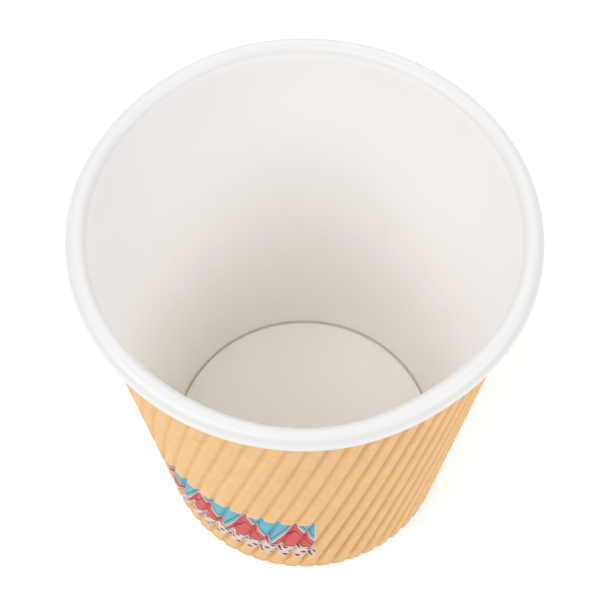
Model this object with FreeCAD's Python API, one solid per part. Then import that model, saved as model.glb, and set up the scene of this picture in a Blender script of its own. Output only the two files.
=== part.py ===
import FreeCAD, Part
import math
import os

# Paper coffee cup with a ripple wrap, three pieces of paper.
# Origin at the centre of the base, +Z up, the cup's front faces -Y. Millimetres and degrees.

# Cup
height = 88.0  # base to the top of the rolled rim
rim_diameter = 80.0  # over the rolled rim
base_diameter = 52.8  # outside of the sidewall where it meets the table
board = 0.38  # paperboard of the sidewall
curl_diameter = 3.9  # rolled rim
tuck_diameter = 2.7  # inner turn of the rolled rim
tuck_start = -60.0  # where the inner turn begins, seen from the curl's centre
tuck_turn = 170.0
hem_height = 4.2  # sidewall folded in and up inside the base
hem_corner = 0.12  # inside radius of the hem's two creases
seam_lap = 7.0  # inner layer of the side seam
seam_angle = -90.0  # the side seam is at the front
seam_foot_gap = 0.2  # from the floor to the seam's inner layer

# Bottom
bottom_board = 0.35
floor_rise = 6.0  # base to the floor's top face
floor_bend = 0.7
fit = 0.03  # paper to paper inside the hem

# Ripple wrap
wrap_paper = 0.4
flute_pitch = 3.216  # square to the flutes
flute_depth = 1.0  # groove to crest, on the outside
flute_lean = 11.0  # flutes rise to the right at the front
groove_offset = 2.339  # first groove from the front centre of the lower edge
groove_flank = 0.965  # from the groove's line to the crest's flat top
wrap_rise = 4.0  # base to the wrap's lower edge
wrap_gap = 0.2  # wrap's upper edge to the rolled rim
wrap_clearance = 0.05  # groove to the cup's wall
wrap_lap = 8.0  # glued lap of the wrap, at the back
crush = 4.0  # flutes are pressed flat over this width beside the lap
fold_points = 5  # points that carry one fold line
least_fold_gap = 0.05  # a fold nearer than this to a corner's fold is left out
short_fold = 8.0  # a fold shorter than this is straight


def spot(radius, z):
    """Point of the upright section, which lies in the XZ plane."""
    return FreeCAD.Vector(radius, 0, z)


def heading(angle):
    """Unit direction in the section, in degrees from +X towards +Z."""
    return spot(math.cos(math.radians(angle)), math.sin(math.radians(angle)))


def arc(centre, radius, first, last):
    """Arc of the section between two angles in degrees."""
    turns = (first, (first + last) / 2, last)
    return Part.Arc(*[centre + heading(turn) * radius for turn in turns]).toShape()


def crease(corner, back, ahead, radius):
    """Arc that rounds a corner between the directions back and ahead, with its two ends."""
    half = back.getAngle(ahead) / 2
    middle = (back + ahead).normalize()
    start = corner + back * (radius / math.tan(half))
    end = corner + ahead * (radius / math.tan(half))
    nearest = corner + middle * (radius / math.sin(half) - radius)
    return Part.Arc(start, nearest, end).toShape(), start, end


def sheet_face(edges, thickness):
    """Section of a folded sheet, with its thickness on the right of the path."""
    return Part.Wire(edges).makeOffset2D(-thickness, 0, True, True)


def turned(face, turn=360):
    """Solid that a section sweeps about the cup's axis."""
    return face.revolve(spot(0, 0), spot(0, 1), turn)


# Sidewall section: its inside face is straight from the hem until it is tangent to the rolled rim
curl_radius = curl_diameter / 2
base_radius = base_diameter / 2
curl_centre = spot(rim_diameter / 2 - curl_radius, height - curl_radius)
run = curl_centre - spot(base_radius, 0)
lean = math.atan2(run.x, run.z) - math.asin((curl_radius - board) / run.Length)
up = spot(math.sin(lean), math.cos(lean))
out = spot(math.cos(lean), -math.sin(lean))
hem_space = bottom_board + 2 * fit


def inside_radius(z):
    """Radius of the wall's inside face at a height."""
    return base_radius - board / math.cos(lean) + z * math.tan(lean)


def make_cup_wall():
    """Sidewall with its rolled rim, folded hem and side seam."""
    outer_corner = spot(inside_radius(board), board)
    inner_corner = outer_corner - spot(hem_space / math.cos(lean), 0)
    inner_crease, hem_foot, flat_start = crease(inner_corner, up, spot(1, 0), hem_corner)
    outer_crease, flat_end, wall_foot = crease(outer_corner, spot(-1, 0), up, hem_corner)
    wall_top = curl_centre - out * curl_radius
    tuck_radius = tuck_diameter / 2
    tuck_centre = curl_centre + heading(tuck_start) * (curl_radius - tuck_radius)
    path = [
        Part.makeLine(inner_corner + up * hem_height, hem_foot),
        inner_crease,
        Part.makeLine(flat_start, flat_end),
        outer_crease,
        Part.makeLine(wall_foot, wall_top),
        arc(curl_centre, curl_radius, 180 - math.degrees(lean), tuck_start),
        arc(tuck_centre, tuck_radius, tuck_start, tuck_start - tuck_turn),
    ]
    seam_foot_z = floor_rise + seam_foot_gap
    seam_foot = spot(inside_radius(seam_foot_z), seam_foot_z)
    seam_path = [seam_foot, wall_top, wall_top - out * board, seam_foot - out * board, seam_foot]
    seam_turn = math.degrees(seam_lap / inside_radius(height / 2))
    seam = turned(Part.Face(Part.makePolygon(seam_path)), seam_turn)
    seam.rotate(spot(0, 0), spot(0, 1), seam_angle - seam_turn / 2)
    return turned(sheet_face(path, board)).fuse(seam).removeSplitter().Solids[0]


def make_cup_bottom():
    """Floor disc with its skirt turned down into the hem."""
    edge = spot(inside_radius(floor_rise) - fit / math.cos(lean), floor_rise)
    bend, bend_start, bend_end = crease(edge, spot(-1, 0), -up, floor_bend)
    skirt_end = edge - up * ((floor_rise - board - hem_corner - fit) / math.cos(lean))
    path = [
        Part.makeLine(spot(0, floor_rise), bend_start),
        bend,
        Part.makeLine(bend_end, skirt_end),
    ]
    return turned(sheet_face(path, bottom_board))


# Wrap: its blank is the crests' cone laid flat, and every fold is a straight line on the blank
flank = math.atan2(flute_depth, groove_flank)
groove_paper = wrap_paper / math.cos(flank)
crest_stand = board + wrap_clearance + groove_paper + flute_depth
wrap_top = height - curl_diameter - wrap_gap
slant = math.sin(lean)
apex = wrap_rise - (inside_radius(wrap_rise) + crest_stand / math.cos(lean)) / math.tan(lean)
low_ring = (wrap_rise - apex) / math.cos(lean)
high_ring = (wrap_top - apex) / math.cos(lean)
tilt = math.radians(flute_lean)
lap_turn = wrap_lap / inside_radius(height / 2)
blank_edge = (math.pi - lap_turn / 2) * slant
front = -math.pi / 2

# Folds of one flute: place across the flutes, and level above the groove's outside
inside_flank = groove_flank + wrap_paper * math.tan(flank / 2)
outside_folds = [
    (0.0, 0.0),
    (groove_flank, flute_depth),
    (flute_pitch - groove_flank, flute_depth),
]
inside_folds = [
    (0.0, -groove_paper),
    (inside_flank, flute_depth - wrap_paper),
    (flute_pitch - inside_flank, flute_depth - wrap_paper),
]

# Fold lines by their distance from the blank's centre
first_groove = groove_offset - low_ring * math.sin(tilt)
right_low = low_ring * math.sin(blank_edge - tilt)
right_high = high_ring * math.sin(blank_edge - tilt)
left_low = -low_ring * math.sin(blank_edge + tilt)
left_high = -high_ring * math.sin(blank_edge + tilt)


def flute_level(folds, place):
    """Level of a fluted face at a place across the flutes."""
    across = (place - first_groove) % flute_pitch
    knots = folds + [(flute_pitch, folds[0][1])]
    for (before, low), (after, high) in zip(knots, knots[1:]):
        if across <= after:
            return low + (high - low) * (across - before) / (after - before)
    return folds[0][1]


def eased(distance):
    """0 at the lap, 1 where the flutes have their full depth."""
    share = min(max(distance / crush, 0.0), 1.0)
    return share * share * (3 - 2 * share)


def wrap_point(place, along, level, plain):
    """Point of the wrap from its place on the blank. plain is the level of the pressed sheet."""
    ring = math.hypot(place, along)
    angle = tilt + math.atan2(place, along)
    right_ease = eased(ring * math.sin(blank_edge - angle))
    left_ease = eased(ring * math.sin(blank_edge + angle))
    pressed = plain + wrap_paper * (1 - left_ease)
    stand = pressed + (level - plain) * right_ease * left_ease
    z = apex + ring * math.cos(lean)
    radius = (z - apex) * math.tan(lean) - (flute_depth - stand) / math.cos(lean)
    turn = front + angle / slant
    return FreeCAD.Vector(radius * math.cos(turn), radius * math.sin(turn), z)


def fold_span(place):
    """Where a fold line enters and leaves the blank."""
    start = math.sqrt(low_ring ** 2 - place ** 2)
    if place > right_low:
        start = place / math.tan(blank_edge - tilt)
    if place < left_low:
        start = -place / math.tan(blank_edge + tilt)
    return start, math.sqrt(high_ring ** 2 - place ** 2)


def fold_places(folds):
    """Distances of all fold lines of one face, with one through each corner of the blank."""
    corners = [left_high, left_low, right_low, right_high]
    count = int((right_high - left_high) / flute_pitch) + 2
    start = first_groove + math.floor((left_high - first_groove) / flute_pitch) * flute_pitch
    places = list(corners)
    for flute in range(count):
        for across, level in folds:
            place = start + flute * flute_pitch + across
            inside = left_high < place < right_high
            if inside and min(abs(place - corner) for corner in corners) > least_fold_gap:
                places.append(place)
    return sorted(places)


def fold_edge(place, level, plain):
    """One fold line from the lower to the upper edge of the wrap, with its two ends."""
    start, end = fold_span(place)
    steps = [start + (end - start) * step / (fold_points - 1) for step in range(fold_points)]
    points = [wrap_point(place, along, level, plain) for along in steps]
    if end - start < short_fold:
        return Part.makeLine(points[0], points[-1]), points[0], points[-1]
    curve = Part.BSplineCurve()
    curve.interpolate(points)
    return curve.toShape(), points[0], points[-1]


def fluted_skin(folds, plain):
    """Faces of one side of the wrap, and the ends of its folds on each edge of the blank."""
    places = fold_places(folds)
    tops = [wrap_point(p, fold_span(p)[1], flute_level(folds, p), plain) for p in places]
    lines = [fold_edge(p, flute_level(folds, p), plain) for p in places[1:-1]]
    faces = [corner_face(tops[0], lines[0])]
    for first, second in zip(lines, lines[1:]):
        faces.append(Part.makeRuledSurface(first[0], second[0]))
    faces.append(corner_face(tops[-1], lines[-1]))
    inner = list(zip(places[1:-1], lines))
    edges = {
        "top": tops,
        "low": [line[1] for place, line in inner if left_low <= place <= right_low],
        "left": [tops[0]] + [line[1] for place, line in inner if place <= left_low],
        "right": [line[1] for place, line in inner if place >= right_low] + [tops[-1]],
    }
    return faces, edges


def corner_face(corner, line):
    """Last strip of the blank, which runs out at the upper corner."""
    return Part.Face(Part.makePolygon([corner, line[1], line[2], corner]))


def lap_arc(z, radius):
    """Arc across the lap from its right edge to its left edge."""
    return [
        FreeCAD.Vector(radius * math.cos(turn), radius * math.sin(turn), z)
        for turn in (math.pi / 2 - lap_turn / 2, math.pi / 2, math.pi / 2 + lap_turn / 2)
    ]


def lap_faces(points):
    """Faces across the lap, one between each two fold ends along its edge."""
    arcs = [Part.Arc(*lap_arc(p.z, math.hypot(p.x, p.y))).toShape() for p in points]
    return [Part.makeRuledSurface(low, high) for low, high in zip(arcs, arcs[1:])]


def across_lap(points, side):
    """The same heights and radii at the right (0) or left (2) edge of the lap."""
    return [lap_arc(p.z, math.hypot(p.x, p.y))[side] for p in points]


def ring_face(outer, inner):
    """Upper or lower cut edge of the wrap, between its two faces and the lap's arcs."""
    outer_arc = lap_arc(outer[0].z, math.hypot(outer[0].x, outer[0].y))
    inner_arc = lap_arc(inner[-1].z, math.hypot(inner[-1].x, inner[-1].y))
    outer_step = Part.makeLine(outer[-1], outer_arc[0])
    inner_step = Part.makeLine(inner_arc[2], inner[0])
    wires = []
    for points, lap, step in ((outer, outer_arc, outer_step), (inner, inner_arc, inner_step)):
        edges = [Part.makeLine(first, second) for first, second in zip(points, points[1:])]
        edges += [Part.Arc(*lap).toShape(), step]
        wires.append(Part.Wire(Part.__sortEdges__(edges)))
    return Part.makeFace(wires, "Part::FaceMakerBullseye")


def make_ripple_wrap():
    """Fluted wrap as one closed skin of paper with a glued lap at the back."""
    outer_faces, outer = fluted_skin(outside_folds, 0.0)
    inner_faces, inner = fluted_skin(inside_folds, -wrap_paper)
    left_step = across_lap(inner["right"], 2)
    right_step = across_lap(outer["left"], 0)
    steps = [
        Part.Face(Part.makePolygon(left_step + inner["left"] + left_step[:1])),
        Part.Face(Part.makePolygon(outer["right"] + right_step + outer["right"][:1])),
    ]
    rings = [ring_face(outer[edge], inner[edge]) for edge in ("top", "low")]
    laps = lap_faces(outer["left"]) + lap_faces(inner["right"])
    shell = Part.makeShell(outer_faces + inner_faces + steps + rings + laps)
    shell.sewShape()
    wrap = Part.Solid(shell)
    if wrap.Volume < 0:
        wrap.reverse()
    return wrap


os.makedirs("parts", exist_ok=True)
pieces = {
    "cup_wall": make_cup_wall(),
    "cup_bottom": make_cup_bottom(),
    "ripple_wrap": make_ripple_wrap(),
}
for name, shape in pieces.items():
    shape.exportStep("parts/" + name + ".step")
    print(name, shape.ShapeType, shape.isValid(), round(shape.Volume, 2), shape.BoundBox)
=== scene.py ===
import math

import bpy
from mathutils import Matrix, Vector


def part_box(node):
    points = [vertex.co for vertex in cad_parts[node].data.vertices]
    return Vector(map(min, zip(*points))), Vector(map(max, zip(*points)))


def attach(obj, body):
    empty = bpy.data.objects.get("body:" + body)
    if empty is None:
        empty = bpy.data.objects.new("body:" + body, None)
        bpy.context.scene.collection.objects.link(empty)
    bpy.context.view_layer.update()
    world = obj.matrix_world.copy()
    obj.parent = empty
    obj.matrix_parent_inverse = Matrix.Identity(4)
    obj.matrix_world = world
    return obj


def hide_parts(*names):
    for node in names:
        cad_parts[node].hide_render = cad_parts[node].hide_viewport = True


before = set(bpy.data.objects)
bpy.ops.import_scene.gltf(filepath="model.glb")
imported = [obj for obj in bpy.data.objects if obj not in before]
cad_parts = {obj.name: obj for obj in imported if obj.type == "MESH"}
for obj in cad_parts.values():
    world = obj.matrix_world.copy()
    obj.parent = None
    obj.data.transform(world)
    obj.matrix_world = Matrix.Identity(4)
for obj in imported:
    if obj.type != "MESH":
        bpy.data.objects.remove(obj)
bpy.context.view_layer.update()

bl_info = {
    "name": "Paper coffee cup",
    "version": (1, 0, 0),
    "blender": (4, 5, 0),
    "location": "View3D > Sidebar > Paper Cup",
    "description": "Dresses the cup's frame with board, a ripple wrap, a print and a studio",
    "category": "Object",
}

MM = 0.001
WALL_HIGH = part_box("cup_wall")[1]
FLOOR_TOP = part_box("cup_bottom")[1][2]
WRAP_LOW, WRAP_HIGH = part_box("ripple_wrap")

# Folds of the board
CREASE = 0.12 * MM
BOTTOM_BEND = 0.7 * MM
TUCK_START = -60.0
TUCK_SWEEP = 170.0

# Side seam: width of its step, where it starts above the floor, where it fades below the rim
SEAM_STEP = 0.4 * MM
SEAM_START = 0.2 * MM
SEAM_FADE = 3.0 * MM
PINCH_RISE = 2.5 * MM

# Wrap: run of a groove's flank, room to the wall, room between the lap's layers
FLANK_RUN = 0.965 * MM
WALL_ROOM = 0.05 * MM
LAP_ROOM = 0.03 * MM

# Unevenness of the flutes: noise per groove and per metre, its seed, sideways share of the pitch
NOISE_PER_GROOVE = 3.7
NOISE_PER_METRE = 45.0
NOISE_SEED = 4.0
WANDER = 0.16
DEEPEST = 0.9
DEPTH_LOSS = 0.5
CREST = 0.985

# Counts of points
CREASE_POINTS = 4
WALL_POINTS = 48
CURL_POINTS = 36
TUCK_POINTS = 16
WALL_TURNS = 256
SEAM_CLEARANCE = 0.006
BOTTOM_RINGS = 14
RING_POWER = 0.7
BEND_POINTS = 8
SKIRT_POINTS = 5
BOTTOM_TURNS = 192
WRAP_POINTS = {"Points across": 900, "Points along": 44}
SHARP_ANGLE = math.radians(50)

# Board's colour: height above the floor over which its painted warm shade fades, then where the painted
# shade on the rim starts and how it spreads
DEEP_RISE = 62.0 * MM
RIM_SHADE_START = 0.25 * MM
RIM_SHADE_RISE = 1.2 * MM
RIM_SHADE_REACH = 1.0 * MM
RIM_SHADE_SIDE = 0.36
LINE_HALF = 0.12 * MM
LINE_FADE = 0.14 * MM

# Studio: the floor's glow grows with the distance from the cup
FLOOR_HALF = 3.0
FLOOR_GLOW = 0.29
GLOW_START = 0.3
GLOW_REACH = 0.9
WORLD_LEVEL = 0.5
LAMP_TARGET = (0, 0, 0.05)
LAMPS = (
    ("overhead", (-0.24, -0.5, 1.12), 0.5, 2.4),
    ("left", (-0.7, -0.3, 0.85), 0.7, 4.1),
    ("right", (0.7, -0.3, 0.85), 0.7, 3.7),
    ("rear", (0.0, 0.8, 0.75), 0.8, 2.4),
)


class CupShape(bpy.types.PropertyGroup):
    """Sizes of the cup's board."""

    rim_radius: bpy.props.FloatProperty(
        name="Rim radius", description="Outside of the rolled rim",
        default=WALL_HIGH[0], unit="LENGTH", precision=5)
    height: bpy.props.FloatProperty(
        name="Height", description="Base to the top of the rolled rim",
        default=WALL_HIGH[2], unit="LENGTH", precision=5)
    base_radius: bpy.props.FloatProperty(
        name="Base radius", description="Outside of the sidewall where it meets the table",
        default=26.4 * MM, unit="LENGTH", precision=5)
    board: bpy.props.FloatProperty(
        name="Board", description="Thickness of the sidewall's paperboard",
        default=0.38 * MM, unit="LENGTH", precision=5)
    bottom_board: bpy.props.FloatProperty(
        name="Bottom board", description="Thickness of the floor's paperboard",
        default=0.35 * MM, unit="LENGTH", precision=5)
    curl_radius: bpy.props.FloatProperty(
        name="Curl radius", description="Half the thickness of the rolled rim",
        default=1.95 * MM, unit="LENGTH", precision=5)
    tuck_radius: bpy.props.FloatProperty(
        name="Tuck radius", description="Inner turn of the rolled rim",
        default=1.35 * MM, unit="LENGTH", precision=5)
    hem_height: bpy.props.FloatProperty(
        name="Hem height", description="Sidewall folded up inside the base",
        default=4.2 * MM, unit="LENGTH", precision=5)
    seam_lap: bpy.props.FloatProperty(
        name="Seam lap", description="Width of the side seam's inner layer",
        default=7.0 * MM, unit="LENGTH", precision=5)
    fit: bpy.props.FloatProperty(
        name="Fit", description="Paper to paper inside the hem",
        default=0.03 * MM, unit="LENGTH", precision=5)
    front_dent: bpy.props.FloatProperty(
        name="Front dent", description="How far the rim is pushed in at the front right",
        default=0.52 * MM, unit="LENGTH", precision=5)
    front_dent_turn: bpy.props.FloatProperty(
        name="Front dent's place", description="Turn about the cup's axis from its right side",
        default=math.radians(-54), subtype="ANGLE")
    rear_dent: bpy.props.FloatProperty(
        name="Rear dent", description="How far the rim is pushed in at the rear left",
        default=0.34 * MM, unit="LENGTH", precision=5)
    rear_dent_turn: bpy.props.FloatProperty(
        name="Rear dent's place", description="Turn about the cup's axis from its right side",
        default=math.radians(142), subtype="ANGLE")
    seam_pinch: bpy.props.FloatProperty(
        name="Seam pinch", description="How much thinner the rolled rim is over the seam's two layers",
        default=0.42 * MM, unit="LENGTH", precision=5)
    pinch_width: bpy.props.FloatProperty(
        name="Pinch width", description="Reach of the pinch to either side of the seam",
        default=math.radians(27), subtype="ANGLE")
    dent_width: bpy.props.FloatProperty(
        name="Dent width", description="Reach of a dent to either side",
        default=math.radians(34), subtype="ANGLE")
    dent_drop: bpy.props.FloatProperty(
        name="Dent drop", description="Height over which a dent runs out below the rim",
        default=42.0 * MM, unit="LENGTH", precision=5)


class WrapShape(bpy.types.PropertyGroup):
    """Sizes of the fluted wrap."""

    paper: bpy.props.FloatProperty(
        name="Paper", description="Thickness of the kraft paper",
        default=0.4 * MM, unit="LENGTH", precision=5)
    pitch: bpy.props.FloatProperty(
        name="Flute pitch", description="From groove to groove, square to the flutes",
        default=3.216 * MM, unit="LENGTH", precision=5)
    depth: bpy.props.FloatProperty(
        name="Flute depth", description="From groove to crest",
        default=1.0 * MM, unit="LENGTH", precision=5)
    lean: bpy.props.FloatProperty(
        name="Flute lean", description="Lean of the flutes at the cup's front",
        default=math.radians(11.0), subtype="ANGLE")
    first_groove: bpy.props.FloatProperty(
        name="First groove", description="First groove from the front centre of the lower edge",
        default=2.339 * MM, unit="LENGTH", precision=5)
    groove_width: bpy.props.FloatProperty(
        name="Groove width", description="Half of a groove, as a share of the pitch",
        default=0.25, min=0, max=0.5)
    lap: bpy.props.FloatProperty(
        name="Lap", description="Glued lap at the back",
        default=8.0 * MM, unit="LENGTH", precision=5)
    crush: bpy.props.FloatProperty(
        name="Crush", description="Width beside the lap over which the flutes are pressed flat",
        default=4.0 * MM, unit="LENGTH", precision=5)
    foot: bpy.props.FloatProperty(
        name="Foot", description="Height over which the grooves run out towards the lower edge",
        default=6.0 * MM, unit="LENGTH", precision=5)
    foot_share: bpy.props.FloatProperty(
        name="Foot share", description="Depth of the grooves left at the lower edge",
        default=0.3, min=0, max=1)
    shallow_place: bpy.props.FloatProperty(
        name="Shallow place", description="Middle of the place with shallower grooves, from the front",
        default=-25.0 * MM, unit="LENGTH", precision=5)
    shallow_width: bpy.props.FloatProperty(
        name="Shallow width", description="Reach of that place to either side",
        default=62.0 * MM, unit="LENGTH", precision=5)
    shallow_height: bpy.props.FloatProperty(
        name="Shallow height", description="Where the grooves begin to get shallower, above the lower edge",
        default=15.0 * MM, unit="LENGTH", precision=5)
    shallow_rise: bpy.props.FloatProperty(
        name="Shallow rise", description="Height over which they get shallower",
        default=32.0 * MM, unit="LENGTH", precision=5)
    shallow_share: bpy.props.FloatProperty(
        name="Shallow share", description="Depth of the grooves left at that place",
        default=0.36, min=0, max=1)


class CupColours(bpy.types.PropertyGroup):
    """Colours of the cup, its print, its painted shade and the studio."""

    board: bpy.props.FloatVectorProperty(
        name="White board", description="Coated paperboard of the upper wall", subtype="COLOR",
        default=(0.975, 0.959, 0.946), min=0, max=1)
    # Painted shade: the board is painted darker and warmer near the floor, where the cup is deep
    deep_painted_shade: bpy.props.FloatVectorProperty(
        name="Deep painted shade", description="The board near the floor, warmer to match the photo in this light",
        subtype="COLOR", default=(0.960, 0.921, 0.868), min=0, max=1)
    # Painted shade: the rolled rim's top and outer side are painted darker, where the light falls strongest
    rim_painted_shade: bpy.props.FloatVectorProperty(
        name="Rim painted shade", description="The board on the rolled rim, darker to match the photo in this light",
        subtype="COLOR", default=(0.74, 0.728, 0.716), min=0, max=1)
    # Thin line where floor and wall meet: the cut edge, and partly painted shadow in the crease
    floor_line_and_shadow: bpy.props.FloatVectorProperty(
        name="Floor line and shadow", description="Thin line where floor and wall meet", subtype="COLOR",
        default=(0.72, 0.64, 0.53), min=0, max=1)
    kraft: bpy.props.FloatVectorProperty(
        name="Kraft", description="Uncoated kraft paper", subtype="COLOR",
        default=(0.95, 0.604, 0.264), min=0, max=1)
    pink_kraft: bpy.props.FloatVectorProperty(
        name="Pink kraft", description="Paler patches of the kraft", subtype="COLOR",
        default=(0.985, 0.63, 0.335), min=0, max=1)
    fleck: bpy.props.FloatVectorProperty(
        name="Fleck", description="Pale flecks in the kraft", subtype="COLOR",
        default=(1.0, 0.74, 0.40), min=0, max=1)
    # Painted shade: darker kraft painted along the grooves
    groove_painted_shade: bpy.props.FloatVectorProperty(
        name="Groove painted shade", description="Darker kraft along the grooves", subtype="COLOR",
        default=(0.78, 0.43, 0.16), min=0, max=1)
    coral: bpy.props.FloatVectorProperty(
        name="Coral", description="Printed coral", subtype="COLOR",
        default=(0.80, 0.13, 0.14), min=0, max=1)
    sky: bpy.props.FloatVectorProperty(
        name="Sky blue", description="Printed sky blue", subtype="COLOR",
        default=(0.19, 0.54, 0.65), min=0, max=1)
    cream: bpy.props.FloatVectorProperty(
        name="Cream", description="Printed cream", subtype="COLOR",
        default=(0.90, 0.70, 0.62), min=0, max=1)
    brown: bpy.props.FloatVectorProperty(
        name="Brown", description="Printed dark brown", subtype="COLOR",
        default=(0.10, 0.055, 0.05), min=0, max=1)
    floor: bpy.props.FloatVectorProperty(
        name="Floor", description="Studio floor", subtype="COLOR",
        default=(0.86, 0.86, 0.86), min=0, max=1)


class StudioView(bpy.types.PropertyGroup):
    """Camera of the studio, measured from the centre of the rolled rim."""

    distance: bpy.props.FloatProperty(
        name="Distance", description="Rim's centre to the camera",
        default=281.9 * MM, unit="LENGTH", precision=5)
    elevation: bpy.props.FloatProperty(
        name="Elevation", description="Camera's height above the rim, as an angle",
        default=math.radians(58.267), subtype="ANGLE")
    pitch: bpy.props.FloatProperty(
        name="Pitch", description="How far the camera looks down",
        default=math.radians(60.605), subtype="ANGLE")
    yaw: bpy.props.FloatProperty(
        name="Yaw", description="How far the camera looks to the right",
        default=math.radians(-0.297), subtype="ANGLE")
    roll: bpy.props.FloatProperty(
        name="Roll", description="Turn of the picture",
        default=math.radians(-0.105), subtype="ANGLE")
    lens: bpy.props.FloatProperty(
        name="Lens", description="Focal length on a sensor 36 mm wide",
        default=101.2, subtype="DISTANCE_CAMERA")


class Sums:
    """Adds Math nodes to a tree and hands back their results."""

    def __init__(self, tree):
        self.tree = tree

    def node(self, kind, **inputs):
        """One node with its inputs set or linked by name, with spaces as underscores."""
        made = self.tree.nodes.new(kind)
        for name, value in inputs.items():
            self.feed(made.inputs[name.replace("_", " ")], value)
        return made

    def feed(self, socket, value):
        """Link or set one input."""
        if isinstance(value, bpy.types.NodeSocket):
            self.tree.links.new(value, socket)
        else:
            socket.default_value = value

    def do(self, operation, *values):
        """One Math node."""
        made = self.tree.nodes.new("ShaderNodeMath")
        made.operation = operation
        for socket, value in zip(made.inputs, values):
            self.feed(socket, value)
        return made.outputs[0]

    def add(self, a, b):
        return self.do("ADD", a, b)

    def less(self, a, b):
        return self.do("SUBTRACT", a, b)

    def times(self, a, b):
        return self.do("MULTIPLY", a, b)

    def over(self, a, b):
        return self.do("DIVIDE", a, b)

    def below(self, a, b):
        """1 where a is less than b."""
        return self.do("LESS_THAN", a, b)

    def side(self, long, short):
        """The third side of a right triangle."""
        square = self.less(self.times(long, long), self.times(short, short))
        return self.do("SQRT", self.do("MAXIMUM", square, 0.0))

    def length(self, a, b):
        """The long side of a right triangle."""
        return self.do("SQRT", self.add(self.times(a, a), self.times(b, b)))

    def eased(self, distance, width):
        """0 at no distance, 1 from the width on."""
        share = self.do("MINIMUM", self.do("MAXIMUM", self.over(distance, width), 0.0), 1.0)
        return self.times(self.times(share, share), self.less(3.0, self.times(2.0, share)))

    def between(self, low, high, share):
        """A number between two others."""
        return self.add(low, self.times(share, self.less(high, low)))

    def mix(self, share, a, b):
        """Colour between a and b."""
        made = self.tree.nodes.new("ShaderNodeMix")
        made.data_type = "RGBA"
        self.feed(made.inputs["Factor"], share)
        self.feed(made.inputs["A"], colour4(a))
        self.feed(made.inputs["B"], colour4(b))
        return made.outputs["Result"]


def colour4(value):
    """A colour with full alpha, or a socket as it is."""
    if isinstance(value, bpy.types.NodeSocket):
        return value
    return (value[0], value[1], value[2], 1.0)


class Section:
    """Upright section of the cup's sidewall, shared by the wall, the bottom and the wrap."""

    def __init__(self, cup):
        self.cup = cup
        self.curl = Vector((cup.rim_radius - cup.curl_radius, cup.height - cup.curl_radius))
        run = self.curl - Vector((cup.base_radius, 0))
        reach = math.asin((cup.curl_radius - cup.board) / run.length)
        self.lean = math.atan2(run.x, run.y) - reach
        self.up = Vector((math.sin(self.lean), math.cos(self.lean)))
        self.out = Vector((math.cos(self.lean), -math.sin(self.lean)))

    def inside(self, z):
        """Radius of the wall's inside face at a height."""
        cup = self.cup
        return cup.base_radius - cup.board / math.cos(self.lean) + z * math.tan(self.lean)


def heading(angle):
    """Unit direction in the section, in degrees from outwards towards up."""
    return Vector((math.cos(math.radians(angle)), math.sin(math.radians(angle))))


def arc_run(centre, radius, first, last, count, inward):
    """Points of an arc with the side on which the board lies."""
    run = []
    for step in range(count + 1):
        way = heading(first + (last - first) * step / count)
        run.append((centre + way * radius, -way if inward else way))
    return run


def crease_run(corner, back, ahead, radius, count):
    """Points of a crease between two directions, with the board on its outer side."""
    half = back.angle(ahead) / 2
    middle = (back + ahead).normalized()
    centre = corner + middle * (radius / math.sin(half))
    start = corner + back * (radius / math.tan(half)) - centre
    end = corner + ahead * (radius / math.tan(half)) - centre
    first = math.degrees(math.atan2(start.y, start.x))
    turn = math.degrees(start.angle(end))
    turn = turn if start.x * end.y - start.y * end.x > 0 else -turn
    return arc_run(centre, radius, first, first + turn, count, False)


def smooth_share(share):
    """0 below 0, 1 above 1, and smooth between."""
    share = min(max(share, 0.0), 1.0)
    return share * share * (3 - 2 * share)


def turn_between(first, second):
    """Angle between two turns about the axis."""
    return abs((first - second + math.pi) % math.tau - math.pi)


def straight_run(start, end, side, count):
    """Points between two ends, without the ends."""
    return [(start.lerp(end, step / count), side) for step in range(1, count)]


def new_piece(name, points, faces, materials):
    """Mesh object with smooth faces and its materials."""
    mesh = bpy.data.meshes.new(name)
    mesh.from_pydata(points, [], faces)
    mesh.validate()
    mesh.shade_smooth()
    for material in materials:
        mesh.materials.append(material)
    piece = bpy.data.objects.new(name, mesh)
    bpy.context.scene.collection.objects.link(piece)
    return piece


def hand_over(piece, node):
    """Let a finished piece stand for its node."""
    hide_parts(node)
    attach(piece, "root")


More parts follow.
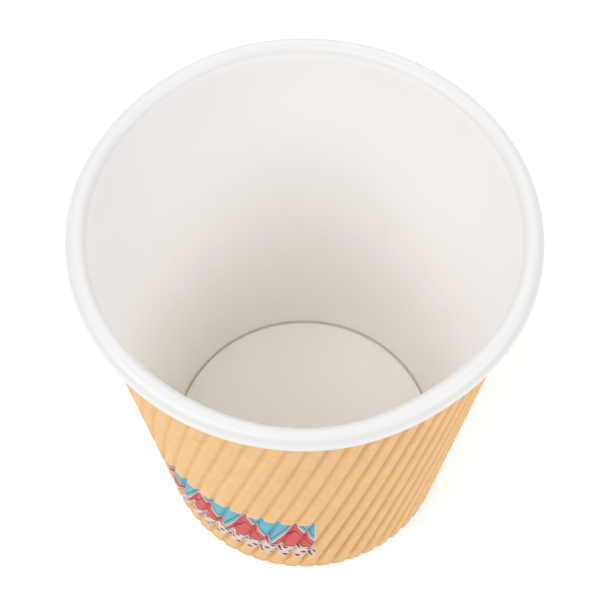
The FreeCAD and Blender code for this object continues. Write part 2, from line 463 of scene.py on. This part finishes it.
class Paper:
    """Paper material with mottled colour and fine fibres."""

    def __init__(self, name, roughness, coat, grain, mottle, unevenness, relief, stretch=1.0):
        self.material = bpy.data.materials.new(name)
        self.material.use_nodes = True
        self.tree = self.material.node_tree
        self.shader = self.tree.nodes["Principled BSDF"]
        self.sums = Sums(self.tree)
        self.place = self.tree.nodes.new("ShaderNodeTexCoord").outputs["Object"]
        self.stretched = self.sums.node(
            "ShaderNodeMapping", Vector=self.place, Scale=(1.0, 1.0, stretch)).outputs[0]
        cloud = self.noise(mottle, 4.0, 0.6)
        fibre = self.noise(grain, 5.0, 0.65)
        shade = self.tree.nodes.new("ShaderNodeMapRange")
        self.sums.feed(shade.inputs["Value"], self.sums.add(cloud, self.sums.times(fibre, 0.6)))
        shade.inputs["From Min"].default_value = 0.55
        shade.inputs["From Max"].default_value = 1.05
        shade.inputs["To Min"].default_value = 1.0 - unevenness
        shade.inputs["To Max"].default_value = 1.0
        self.tint = self.tree.nodes.new("ShaderNodeMix")
        self.tint.data_type = "RGBA"
        self.tint.blend_type = "MULTIPLY"
        self.tint.inputs["Factor"].default_value = 1.0
        self.sums.feed(self.tint.inputs["B"], shade.outputs["Result"])
        self.sums.feed(self.shader.inputs["Base Color"], self.tint.outputs["Result"])
        self.shader.inputs["Roughness"].default_value = roughness
        self.shader.inputs["Coat Weight"].default_value = coat
        self.shader.inputs["Coat Roughness"].default_value = 0.25
        bump = self.sums.node("ShaderNodeBump", Height=fibre, Strength=relief, Distance=0.05 * MM)
        self.sums.feed(self.shader.inputs["Normal"], bump.outputs["Normal"])

    def noise(self, scale, detail, roughness):
        """Noise on the stretched object coordinates."""
        made = self.sums.node("ShaderNodeTexNoise", Vector=self.stretched, Scale=scale,
                              Detail=detail, Roughness=roughness)
        return made.outputs["Fac"]

    def dye(self, colour):
        """Give the paper its colour."""
        self.sums.feed(self.tint.inputs["A"], colour)


def board_material(colours, section):
    """White coated board: painted warm shade towards the floor, painted shade on the rim, and a line round
    the floor that is partly painted shadow.
    """
    paper = Paper("coated_white_board", roughness=0.42, coat=0.25, grain=2600.0, mottle=90.0,
                  unevenness=0.012, relief=0.25)
    sums = paper.sums
    spot = sums.node("ShaderNodeSeparateXYZ", Vector=paper.place).outputs
    from_axis = sums.length(spot["X"], spot["Y"])
    # Painted warm shade towards the floor, fading out over DEEP_RISE
    risen = sums.eased(sums.less(spot["Z"], FLOOR_TOP), DEEP_RISE)
    colour = sums.mix(risen, colours.deep_painted_shade, colours.board)
    # Painted shade on the rim: full on its top, a share of it on its outer side
    above = sums.eased(sums.less(spot["Z"], section.curl.y + RIM_SHADE_START), RIM_SHADE_RISE)
    beyond = sums.eased(sums.less(from_axis, section.curl.x), RIM_SHADE_REACH)
    outward = sums.times(beyond, RIM_SHADE_SIDE)
    rim_shade = sums.add(outward, sums.times(above, sums.less(1.0, outward)))
    colour = sums.mix(rim_shade, colour, colours.rim_painted_shade)
    # Line round the floor: the cut edge, and partly painted shadow in the crease between floor and wall
    out = sums.less(from_axis, section.inside(FLOOR_TOP))
    from_corner = sums.length(out, sums.less(spot["Z"], FLOOR_TOP))
    clear = sums.eased(sums.less(from_corner, LINE_HALF), LINE_FADE)
    paper.dye(sums.mix(clear, colours.floor_line_and_shadow, colour))
    return paper.material


def kraft_paper(name, colours):
    """Uncoated kraft: two shades, pale flecks and painted shade along the grooves. Returns the paper and its
    colour.
    """
    paper = Paper(name, roughness=0.8, coat=0.0, grain=1500.0, mottle=260.0, unevenness=0.10,
                  relief=0.45, stretch=0.7)
    sums = paper.sums
    share = sums.eased(sums.less(paper.noise(800.0, 4.0, 0.75), 0.4), 0.2)
    colour = sums.mix(share, colours.kraft, colours.pink_kraft)
    pale = sums.eased(sums.less(paper.noise(2300.0, 2.0, 0.6), 0.60), 0.08)
    colour = sums.mix(sums.times(pale, 0.6), colour, colours.fleck)
    # Painted shade along the grooves, as deep as the stored groove dip
    groove = paper.tree.nodes.new("ShaderNodeAttribute")
    groove.attribute_name = "groove"
    colour = sums.mix(sums.times(groove.outputs["Fac"], 0.55), colour, colours.groove_painted_shade)
    paper.dye(colour)
    paper.shader.inputs["Specular IOR Level"].default_value = 0.25
    return paper, colour


def kraft_material(colours):
    """Plain kraft of the wrap's back and cut edges."""
    return kraft_paper("kraft_back", colours)[0].material


def make_wall(cup, colours):
    """Sidewall with its rolled rim, folded hem and side seam."""
    section = Section(cup)
    up, out = section.up, section.out
    board = cup.board
    corner = Vector((section.inside(board), board))
    inner = corner - Vector(((cup.bottom_board + 2 * cup.fit) / math.cos(section.lean), 0))
    hem_top = inner + up * cup.hem_height
    hem_bend = crease_run(inner, up, Vector((1, 0)), CREASE, CREASE_POINTS)
    wall_bend = crease_run(corner, Vector((-1, 0)), up, CREASE, CREASE_POINTS)
    wall_top = section.curl - out * cup.curl_radius
    tuck_centre = section.curl + heading(TUCK_START) * (cup.curl_radius - cup.tuck_radius)
    run = [(hem_top, -out)]
    run += straight_run(hem_top, hem_bend[0][0], -out, CREASE_POINTS)
    run += hem_bend + wall_bend
    run += straight_run(wall_bend[-1][0], wall_top, out, WALL_POINTS)
    run += arc_run(section.curl, cup.curl_radius, 180 - math.degrees(section.lean), TUCK_START,
                   CURL_POINTS, True)
    run += arc_run(tuck_centre, cup.tuck_radius, TUCK_START, TUCK_START - TUCK_SWEEP,
                   TUCK_POINTS, True)[1:]

    seam_half = cup.seam_lap / 2 / section.inside(cup.height / 2)
    front = -math.pi / 2
    step = SEAM_STEP / cup.rim_radius
    turns = [math.tau * k / WALL_TURNS for k in range(WALL_TURNS)]
    edges = [front - seam_half - step, front - seam_half, front + seam_half, front + seam_half + step]
    edges = [edge % math.tau for edge in edges]
    turns = [turn for turn in turns if min(abs(turn - edge) for edge in edges) > SEAM_CLEARANCE]
    turns = sorted(turns + edges)
    seam_foot = FLOOR_TOP + SEAM_START
    dents = ((cup.front_dent_turn, cup.front_dent), (cup.rear_dent_turn, cup.rear_dent))

    def seam_share(turn, point):
        """1 on the seam's inner layer, fading out over the rolled rim."""
        off = turn_between(turn, front)
        on_wall = point.y >= seam_foot and section.inside(0) < point.x < section.curl.x
        if off > seam_half + step / 2 or not on_wall:
            return 0.0
        return 1.0 - smooth_share((point.y - wall_top.y + SEAM_FADE) / (SEAM_FADE + cup.curl_radius))

    def pushed_in(turn, point):
        """How far the dents move a point towards the axis."""
        risen = smooth_share(1.0 - (cup.height - point.y) / cup.dent_drop)
        dent = risen * sum(depth * smooth_share(1.0 - turn_between(turn, place) / cup.dent_width)
                           for place, depth in dents)
        inner_side = (section.curl.x + cup.curl_radius - point.x) / (2 * cup.curl_radius)
        curled = smooth_share((point.y - WRAP_HIGH[2]) / PINCH_RISE) * min(inner_side, 1.0)
        pinch = cup.seam_pinch * curled * max(0.0, 1.0 - turn_between(turn, front) / cup.pinch_width)
        return dent - pinch

    points, faces = [], []
    far = [point + side * board for point, side in reversed(run)]
    count = len(run) + len(far)
    for turn in turns:
        near = [point - side * board * seam_share(turn, point) for point, side in run]
        for spot in near + far:
            radius = spot.x - pushed_in(turn, spot)
            points.append((radius * math.cos(turn), radius * math.sin(turn), spot.y))
    for ring in range(len(turns)):
        this, after = ring * count, (ring + 1) % len(turns) * count
        for index in range(count):
            follow = (index + 1) % count
            faces.append((this + index, this + follow, after + follow, after + index))
    piece = new_piece("cup_wall_board", points, faces, [board_material(colours, section)])
    piece.data.set_sharp_from_angle(angle=SHARP_ANGLE)
    return piece


def make_bottom(cup, colours):
    """Floor disc with its skirt turned down into the hem."""
    section = Section(cup)
    up, out = section.up, section.out
    edge = Vector((section.inside(FLOOR_TOP) - cup.fit / math.cos(section.lean), FLOOR_TOP))
    half = Vector((-1, 0)).angle(-up) / 2
    reach = BOTTOM_BEND / math.tan(half)
    centre = edge + Vector((-reach, -BOTTOM_BEND))
    skirt_end = edge - up * ((FLOOR_TOP - cup.board - CREASE - cup.fit) / math.cos(section.lean))
    top = Vector((0, 1))
    run = [(Vector((centre.x * (k / BOTTOM_RINGS) ** RING_POWER, FLOOR_TOP)), -top)
           for k in range(1, BOTTOM_RINGS)]
    run += arc_run(centre, BOTTOM_BEND, 90, -math.degrees(section.lean), BEND_POINTS, True)
    run += straight_run(run[-1][0], skirt_end, -out, SKIRT_POINTS)
    run.append((skirt_end, -out))
    turns = [math.tau * k / BOTTOM_TURNS for k in range(BOTTOM_TURNS)]
    profile = [point for point, side in run]
    profile += [point + side * cup.bottom_board for point, side in reversed(run)]
    count = len(profile)
    points, faces = [], []
    for turn in turns:
        points += [(p.x * math.cos(turn), p.x * math.sin(turn), p.y) for p in profile]
    for ring in range(len(turns)):
        this, after = ring * count, (ring + 1) % len(turns) * count
        for index in range(count - 1):
            faces.append((this + index, this + index + 1, after + index + 1, after + index))
    upper, lower = len(points), len(points) + 1
    points += [(0, 0, FLOOR_TOP), (0, 0, FLOOR_TOP - cup.bottom_board)]
    for ring in range(len(turns)):
        this, after = ring * count, (ring + 1) % len(turns) * count
        faces.append((upper, this, after))
        faces.append((lower, after + count - 1, this + count - 1))
    piece = new_piece("cup_bottom_board", points, faces, [board_material(colours, section)])
    piece.data.set_sharp_from_angle(angle=SHARP_ANGLE)
    return piece


class Blank:
    """The wrap's blank: the crests' cone laid flat, on which the flutes are straight."""

    def __init__(self, cup, wrap):
        section = Section(cup)
        self.lean = section.lean
        self.slant = math.sin(section.lean)
        low, high = WRAP_LOW[2], WRAP_HIGH[2]
        flank = math.atan2(wrap.depth, FLANK_RUN)
        stand = cup.board + WALL_ROOM + wrap.paper / math.cos(flank) + wrap.depth
        crest = section.inside(low) + stand / math.cos(section.lean)
        self.apex = low - crest / math.tan(section.lean)
        self.low = (low - self.apex) / math.cos(section.lean)
        self.high = (high - self.apex) / math.cos(section.lean)
        half_lap = wrap.lap / 2 / section.inside(cup.height / 2)
        self.pressed = (math.pi - half_lap) * self.slant
        self.edge = (math.pi + half_lap) * self.slant
        self.first = wrap.first_groove - self.low * math.sin(wrap.lean)


def wrap_tree(blank, wrap, material):
    """Geometry nodes that fold the flat blank into the fluted wrap."""
    tree = bpy.data.node_groups.new("Fluted wrap", "GeometryNodeTree")
    tree.is_modifier = True
    face = tree.interface
    face.new_socket("Geometry", in_out="INPUT", socket_type="NodeSocketGeometry")
    face.new_socket("Geometry", in_out="OUTPUT", socket_type="NodeSocketGeometry")
    sizes = {
        "Flute pitch": wrap.pitch, "Flute depth": wrap.depth, "Flute lean": wrap.lean,
        "First groove": blank.first, "Paper": wrap.paper, "Crush": wrap.crush,
        "Cone lean": blank.lean, "Cone apex": blank.apex, "Lower ring": blank.low,
        "Upper ring": blank.high, "Blank edge": blank.edge, "Pressed edge": blank.pressed,
        "Foot": wrap.foot, "Foot share": wrap.foot_share, "Shallow place": wrap.shallow_place,
        "Shallow width": wrap.shallow_width, "Shallow share": wrap.shallow_share,
        "Groove width": wrap.groove_width, "Shallow height": wrap.shallow_height,
        "Shallow rise": wrap.shallow_rise, "Noise seed": NOISE_SEED,
    }
    for name, value in sizes.items():
        socket = face.new_socket(name, in_out="INPUT", socket_type="NodeSocketFloat")
        socket.default_value = value
    for name in ("Points across", "Points along"):
        face.new_socket(name, in_out="INPUT", socket_type="NodeSocketInt")
    sums = Sums(tree)
    given = tree.nodes.new("NodeGroupInput").outputs
    grid = sums.node("GeometryNodeMeshGrid", Size_X=1.0, Size_Y=1.0)
    sums.feed(grid.inputs["Vertices X"], given["Points across"])
    sums.feed(grid.inputs["Vertices Y"], given["Points along"])
    spot = sums.node("ShaderNodeSeparateXYZ", Vector=tree.nodes.new("GeometryNodeInputPosition").outputs[0])
    across = sums.add(spot.outputs["X"], 0.5)
    along = sums.add(spot.outputs["Y"], 0.5)

    # Place on the blank: distance of the flute's line from the blank's centre, then along the line
    right_turn = sums.less(given["Blank edge"], given["Flute lean"])
    left_turn = sums.add(given["Blank edge"], given["Flute lean"])
    right = sums.times(given["Upper ring"], sums.do("SINE", right_turn))
    left = sums.times(sums.times(given["Upper ring"], sums.do("SINE", left_turn)), -1.0)
    place = sums.add(left, sums.times(across, sums.less(right, left)))
    from_right = sums.over(place, sums.do("TANGENT", right_turn))
    from_left = sums.over(sums.times(place, -1.0), sums.do("TANGENT", left_turn))
    foot = sums.do("MAXIMUM", sums.side(given["Lower ring"], place),
                   sums.do("MAXIMUM", from_right, from_left))
    head = sums.side(given["Upper ring"], place)
    reach = sums.add(foot, sums.times(along, sums.less(head, foot)))
    ring = sums.length(place, reach)
    angle = sums.add(given["Flute lean"], sums.do("ARCTAN2", place, reach))

    # Flutes: a narrow groove and a broad crest, uneven along their length
    even = sums.over(sums.less(place, given["First groove"]), given["Flute pitch"])
    groove = sums.do("ROUND", even)
    wander = sums.node("ShaderNodeCombineXYZ", X=sums.times(groove, NOISE_PER_GROOVE),
                       Y=sums.times(reach, NOISE_PER_METRE), Z=given["Noise seed"])
    noise = sums.node("ShaderNodeTexNoise", Vector=wander.outputs[0], Scale=1.0, Detail=2.0)
    uneven = sums.less(noise.outputs["Fac"], 0.5)
    count = sums.add(even, sums.times(uneven, WANDER))
    beside_groove = sums.do("ABSOLUTE", sums.less(count, sums.do("ROUND", count)))
    dip = sums.less(1.0, sums.eased(beside_groove, given["Groove width"]))
    right_ease = sums.eased(sums.times(ring, sums.do("SINE", sums.less(given["Pressed edge"], angle))),
                            given["Crush"])
    left_ease = sums.eased(sums.times(ring, sums.do("SINE", sums.add(given["Pressed edge"], angle))),
                           given["Crush"])
    risen = sums.less(ring, given["Lower ring"])
    foot_ease = sums.between(given["Foot share"], 1.0, sums.eased(risen, given["Foot"]))
    beside = sums.do("ABSOLUTE", sums.less(sums.times(ring, sums.do("SINE", angle)), given["Shallow place"]))
    held = sums.times(sums.less(1.0, sums.eased(beside, given["Shallow width"])),
                      sums.eased(sums.less(risen, given["Shallow height"]), given["Shallow rise"]))
    shallow = sums.between(1.0, given["Shallow share"], held)
    depth_share = sums.less(DEEPEST, sums.times(DEPTH_LOSS, sums.do("ABSOLUTE", uneven)))
    dip = sums.times(sums.times(dip, depth_share), sums.times(foot_ease, shallow))
    level = sums.times(sums.times(given["Flute depth"], sums.less(CREST, dip)),
                       sums.times(right_ease, left_ease))
    raised = sums.times(sums.add(given["Paper"], LAP_ROOM), sums.less(1.0, left_ease))
    stand = sums.add(level, raised)

    # Rolled up: back from the blank to the cone
    z = sums.add(given["Cone apex"], sums.times(ring, sums.do("COSINE", given["Cone lean"])))
    cone = sums.times(ring, sums.do("SINE", given["Cone lean"]))
    back = sums.over(sums.less(given["Flute depth"], stand), sums.do("COSINE", given["Cone lean"]))
    radius = sums.less(cone, back)
    turn = sums.less(sums.over(angle, sums.do("SINE", given["Cone lean"])), math.pi / 2)
    rolled = sums.node("ShaderNodeCombineXYZ", X=sums.times(radius, sums.do("COSINE", turn)),
                       Y=sums.times(radius, sums.do("SINE", turn)), Z=z)

    # The blank's own flat map, in millimetres from the front centre of the lower edge
    flat = sums.node("ShaderNodeCombineXYZ",
                     X=sums.times(sums.times(ring, sums.do("SINE", angle)), 1000.0),
                     Y=sums.times(sums.less(ring, given["Lower ring"]), 1000.0))
    store = tree.nodes.new("GeometryNodeStoreNamedAttribute")
    store.data_type = "FLOAT2"
    store.domain = "CORNER"
    store.inputs["Name"].default_value = "blank"
    sums.feed(store.inputs["Geometry"], grid.outputs["Mesh"])
    sums.feed(store.inputs["Value"], flat.outputs[0])
    # The groove dip is kept for the painted shade along the grooves
    shade = tree.nodes.new("GeometryNodeStoreNamedAttribute")
    shade.data_type = "FLOAT"
    shade.domain = "POINT"
    shade.inputs["Name"].default_value = "groove"
    sums.feed(shade.inputs["Geometry"], store.outputs[0])
    sums.feed(shade.inputs["Value"], dip)
    fold = sums.node("GeometryNodeSetPosition", Geometry=shade.outputs[0], Position=rolled.outputs[0])
    smooth = sums.node("GeometryNodeSetShadeSmooth", Geometry=fold.outputs[0])
    whole = sums.node("GeometryNodeRealizeInstances", Geometry=smooth.outputs[0])
    finish = sums.node("GeometryNodeSetMaterial", Geometry=whole.outputs[0], Material=material)
    sums.feed(tree.nodes.new("NodeGroupOutput").inputs[0], finish.outputs[0])
    return tree


def grown_mesh(name, tree, counts):
    """Plain mesh that a geometry node tree grows."""
    carrier = bpy.data.objects.new(name + "_carrier", bpy.data.meshes.new(name + "_carrier"))
    bpy.context.scene.collection.objects.link(carrier)
    growth = carrier.modifiers.new("Growth", "NODES")
    growth.node_group = tree
    for item in tree.interface.items_tree:
        if item.in_out == "INPUT" and item.name in counts:
            growth[item.identifier] = counts[item.name]
    live = carrier.evaluated_get(bpy.context.evaluated_depsgraph_get())
    mesh = bpy.data.meshes.new_from_object(live)
    mesh.name = name
    carrier.modifiers.remove(growth)
    bpy.data.objects.remove(carrier)
    return mesh


def print_material(colours):
    """Kraft with a printed band of teeth over a ribbon of lozenges."""
    paper, plain = kraft_paper("printed_kraft", colours)
    sums = paper.sums
    flat = paper.tree.nodes.new("ShaderNodeUVMap")
    flat.uv_map = "blank"
    spot = sums.node("ShaderNodeSeparateXYZ", Vector=flat.outputs[0])
    x, y = spot.outputs["X"], spot.outputs["Y"]

    def within(value, low, high):
        """1 between two limits."""
        return sums.times(sums.below(low, value), sums.below(value, high))

    def saw(value, pitch):
        """Distance from the middle of each step, from 0 to half."""
        return sums.do("ABSOLUTE", sums.less(sums.do("FRACT", sums.over(value, pitch)), 0.5))

    # Places and widths on the blank in millimetres
    band_low, ribbon_top, band_top = 8.0, 16.0, 31.5
    band_right, band_left = 2.3, -30.5
    tooth_pitch, tooth_shift = 9.6, 1.5
    lozenge_pitch, lozenge_row, lozenge_foot, lozenge_head = 2.4, 2.6, 0.1, 0.2
    top_edge, side_edge, rule = 0.45, 0.25, 0.3

    # Lines along the teeth, as shares of their height, and half of a lozenge, as a share of its step
    tooth_edge, upper_line, lower_line = (-0.035, 0.035), (0.17, 0.21), (-0.30, -0.26)
    lozenge_half = 0.3
    tooth = sums.times(saw(sums.add(x, tooth_shift), tooth_pitch), 2.0)
    rise = sums.over(sums.less(y, ribbon_top), band_top - ribbon_top)
    past = sums.less(rise, tooth)
    colour = sums.mix(sums.below(0.0, past), colours.coral, colours.sky)
    colour = sums.mix(within(past, *tooth_edge), colour, colours.cream)
    colour = sums.mix(within(past, *upper_line), colour, colours.brown)
    colour = sums.mix(within(past, *lower_line), colour, colours.brown)
    colour = sums.mix(sums.below(band_top - top_edge, y), colour, colours.cream)
    colour = sums.mix(sums.below(band_right - side_edge, x), colour, colours.cream)
    colour = sums.mix(sums.below(x, band_left + side_edge), colour, colours.cream)
    colour = sums.mix(sums.below(y, ribbon_top), colour, colours.cream)
    row = sums.over(sums.less(y, band_low + lozenge_foot), lozenge_row)
    shifted = sums.add(x, sums.times(sums.do("FLOOR", row), lozenge_pitch / 2))
    lozenge = sums.add(saw(shifted, lozenge_pitch), saw(row, 1.0))
    in_lozenge = sums.times(sums.below(lozenge, lozenge_half), sums.below(y, ribbon_top - lozenge_head))
    colour = sums.mix(in_lozenge, colour, colours.brown)
    on_rule = sums.below(sums.do("ABSOLUTE", sums.less(y, ribbon_top)), rule)
    colour = sums.mix(on_rule, colour, colours.brown)
    in_band = sums.times(within(x, band_left, band_right), within(y, band_low, band_top))
    paper.dye(sums.mix(in_band, plain, colour))
    return paper.material


def make_wrap(cup, wrap, colours):
    """Fluted kraft wrap with its paper's thickness and its print."""
    blank = Blank(cup, wrap)
    printed, plain = print_material(colours), kraft_material(colours)
    mesh = grown_mesh("ripple_wrap_paper", wrap_tree(blank, wrap, printed), WRAP_POINTS)
    mesh.materials.clear()
    mesh.materials.append(printed)
    mesh.materials.append(plain)
    mesh.polygons.foreach_set("material_index", [0] * len(mesh.polygons))
    piece = bpy.data.objects.new("ripple_wrap_paper", mesh)
    bpy.context.scene.collection.objects.link(piece)
    sheet = piece.modifiers.new("Paper", "SOLIDIFY")
    sheet.thickness = wrap.paper
    sheet.offset = -1.0
    sheet.material_offset = 1
    sheet.material_offset_rim = 1
    solid = bpy.data.meshes.new_from_object(piece.evaluated_get(bpy.context.evaluated_depsgraph_get()))
    piece.modifiers.remove(sheet)
    piece.data = solid
    return piece


def seen_rays(sums):
    """1 for rays that show a thing to the camera, in gloss or through glass."""
    rays = sums.tree.nodes.new("ShaderNodeLightPath").outputs
    return sums.do("MAXIMUM", rays["Is Camera Ray"],
                   sums.do("MAXIMUM", rays["Is Glossy Ray"], rays["Is Transmission Ray"]))


def make_floor(colours):
    """Pale floor that shows white and keeps the cup's shadow."""
    material = bpy.data.materials.new("studio_floor")
    material.use_nodes = True
    tree = material.node_tree
    tree.nodes.clear()
    sums = Sums(tree)
    body = sums.node("ShaderNodeBsdfDiffuse", Color=colour4(colours.floor))
    place = tree.nodes.new("ShaderNodeTexCoord").outputs["Object"]
    spot = sums.node("ShaderNodeSeparateXYZ", Vector=place).outputs
    away = sums.eased(sums.less(sums.length(spot["X"], spot["Y"]), GLOW_START), GLOW_REACH)
    glow = sums.node("ShaderNodeEmission", Color=(1.0, 1.0, 1.0, 1.0),
                     Strength=sums.between(FLOOR_GLOW, 1.0, away))
    shown = tree.nodes.new("ShaderNodeMixShader")
    sums.feed(shown.inputs[0], seen_rays(sums))
    sums.feed(shown.inputs[2], glow.outputs[0])
    both = tree.nodes.new("ShaderNodeAddShader")
    sums.feed(both.inputs[0], body.outputs[0])
    sums.feed(both.inputs[1], shown.outputs[0])
    sums.feed(tree.nodes.new("ShaderNodeOutputMaterial").inputs["Surface"], both.outputs[0])
    half = FLOOR_HALF
    corners = [(-half, -half, 0), (half, -half, 0), (half, half, 0), (-half, half, 0)]
    floor = new_piece("studio_floor", corners, [(0, 1, 2, 3)], [material])


def make_world():
    """White seen by the camera and in gloss, a plain soft level on the cup."""
    world = bpy.data.worlds.new("studio")
    bpy.context.scene.world = world
    world.use_nodes = True
    tree = world.node_tree
    sums = Sums(tree)
    background = tree.nodes["Background"]
    background.inputs["Color"].default_value = (1.0, 1.0, 1.0, 1.0)
    sums.feed(background.inputs["Strength"], sums.between(WORLD_LEVEL, 1.0, seen_rays(sums)))


def make_lamp(name, place, size, power):
    """White softbox that looks at the cup, with its width in metres and its power in watts."""
    data = bpy.data.lights.new(name, "AREA")
    data.shape = "DISK"
    data.size = size
    data.energy = power
    lamp = bpy.data.objects.new(name, data)
    lamp.location = place
    lamp.rotation_euler = (Vector(LAMP_TARGET) - Vector(place)).to_track_quat("-Z", "Y").to_euler()
    bpy.context.scene.collection.objects.link(lamp)


def make_camera(cup, view):
    """Camera at the photograph's angle."""
    rim = Vector((0, 0, cup.height - cup.curl_radius))
    back = Vector((0, -math.cos(view.elevation), math.sin(view.elevation)))
    ahead = Vector((math.sin(view.yaw) * math.cos(view.pitch),
                    math.cos(view.yaw) * math.cos(view.pitch), -math.sin(view.pitch)))
    right = ahead.cross(Vector((0, 0, 1))).normalized()
    top = right.cross(ahead)
    turned_right = right * math.cos(view.roll) + top * math.sin(view.roll)
    turned_top = top * math.cos(view.roll) - right * math.sin(view.roll)
    data = bpy.data.cameras.new("camera")
    data.sensor_width = 36.0
    data.lens = view.lens
    data.clip_start = 0.01
    camera = bpy.data.objects.new("camera", data)
    axes = Matrix((turned_right, turned_top, -ahead)).transposed().to_4x4()
    camera.matrix_world = Matrix.Translation(rim + back * view.distance) @ axes
    bpy.context.scene.collection.objects.link(camera)
    bpy.context.scene.camera = camera


class CUP_OT_wall(bpy.types.Operator):
    """Make the cup's sidewall with its rolled rim"""

    bl_idname = "paper_cup.wall"
    bl_label = "Sidewall and rolled rim"

    def execute(self, context):
        scene = context.scene
        hand_over(make_wall(scene.cup_shape, scene.cup_colours), "cup_wall")
        return {"FINISHED"}


class CUP_OT_bottom(bpy.types.Operator):
    """Make the cup's floor and its skirt"""

    bl_idname = "paper_cup.bottom"
    bl_label = "Floor and skirt"

    def execute(self, context):
        scene = context.scene
        hand_over(make_bottom(scene.cup_shape, scene.cup_colours), "cup_bottom")
        return {"FINISHED"}


class CUP_OT_wrap(bpy.types.Operator):
    """Make the fluted wrap with its print"""

    bl_idname = "paper_cup.wrap"
    bl_label = "Ripple wrap"

    def execute(self, context):
        scene = context.scene
        piece = make_wrap(scene.cup_shape, scene.wrap_shape, scene.cup_colours)
        hand_over(piece, "ripple_wrap")
        return {"FINISHED"}


class CUP_OT_studio(bpy.types.Operator):
    """Set up the floor, the light and the camera"""

    bl_idname = "paper_cup.studio"
    bl_label = "Studio"

    def execute(self, context):
        scene = context.scene
        scene.view_settings.view_transform = "Standard"
        make_floor(scene.cup_colours)
        make_world()
        for name, place, size, power in LAMPS:
            make_lamp(name, place, size, power)
        make_camera(scene.cup_shape, scene.studio_view)
        return {"FINISHED"}


class CUP_PT_panel(bpy.types.Panel):
    """Lists the cup's pieces and their sizes"""

    bl_label = "Paper Cup"
    bl_idname = "CUP_PT_panel"
    bl_space_type = "VIEW_3D"
    bl_region_type = "UI"
    bl_category = "Paper Cup"

    def draw(self, context):
        scene = context.scene
        for operator in OPERATORS:
            self.layout.operator(operator.bl_idname)
        for group in (scene.cup_shape, scene.wrap_shape, scene.cup_colours, scene.studio_view):
            box = self.layout.box()
            for name in group.bl_rna.properties.keys():
                if name not in ("rna_type", "name"):
                    box.prop(group, name)


GROUPS = (CupShape, WrapShape, CupColours, StudioView)
OPERATORS = (CUP_OT_wall, CUP_OT_bottom, CUP_OT_wrap, CUP_OT_studio)


def register():
    """Register the classes and the sizes kept on the scene."""
    for item in GROUPS + OPERATORS + (CUP_PT_panel,):
        bpy.utils.register_class(item)
    bpy.types.Scene.cup_shape = bpy.props.PointerProperty(type=CupShape)
    bpy.types.Scene.wrap_shape = bpy.props.PointerProperty(type=WrapShape)
    bpy.types.Scene.cup_colours = bpy.props.PointerProperty(type=CupColours)
    bpy.types.Scene.studio_view = bpy.props.PointerProperty(type=StudioView)


def unregister():
    """Undo register."""
    for name in ("cup_shape", "wrap_shape", "cup_colours", "studio_view"):
        delattr(bpy.types.Scene, name)
    for item in reversed(GROUPS + OPERATORS + (CUP_PT_panel,)):
        bpy.utils.unregister_class(item)


def main():
    """Make every piece and the studio."""
    register()
    bpy.ops.paper_cup.wall()
    bpy.ops.paper_cup.bottom()
    bpy.ops.paper_cup.wrap()
    bpy.ops.paper_cup.studio()


if __name__ == "__main__":
    main()
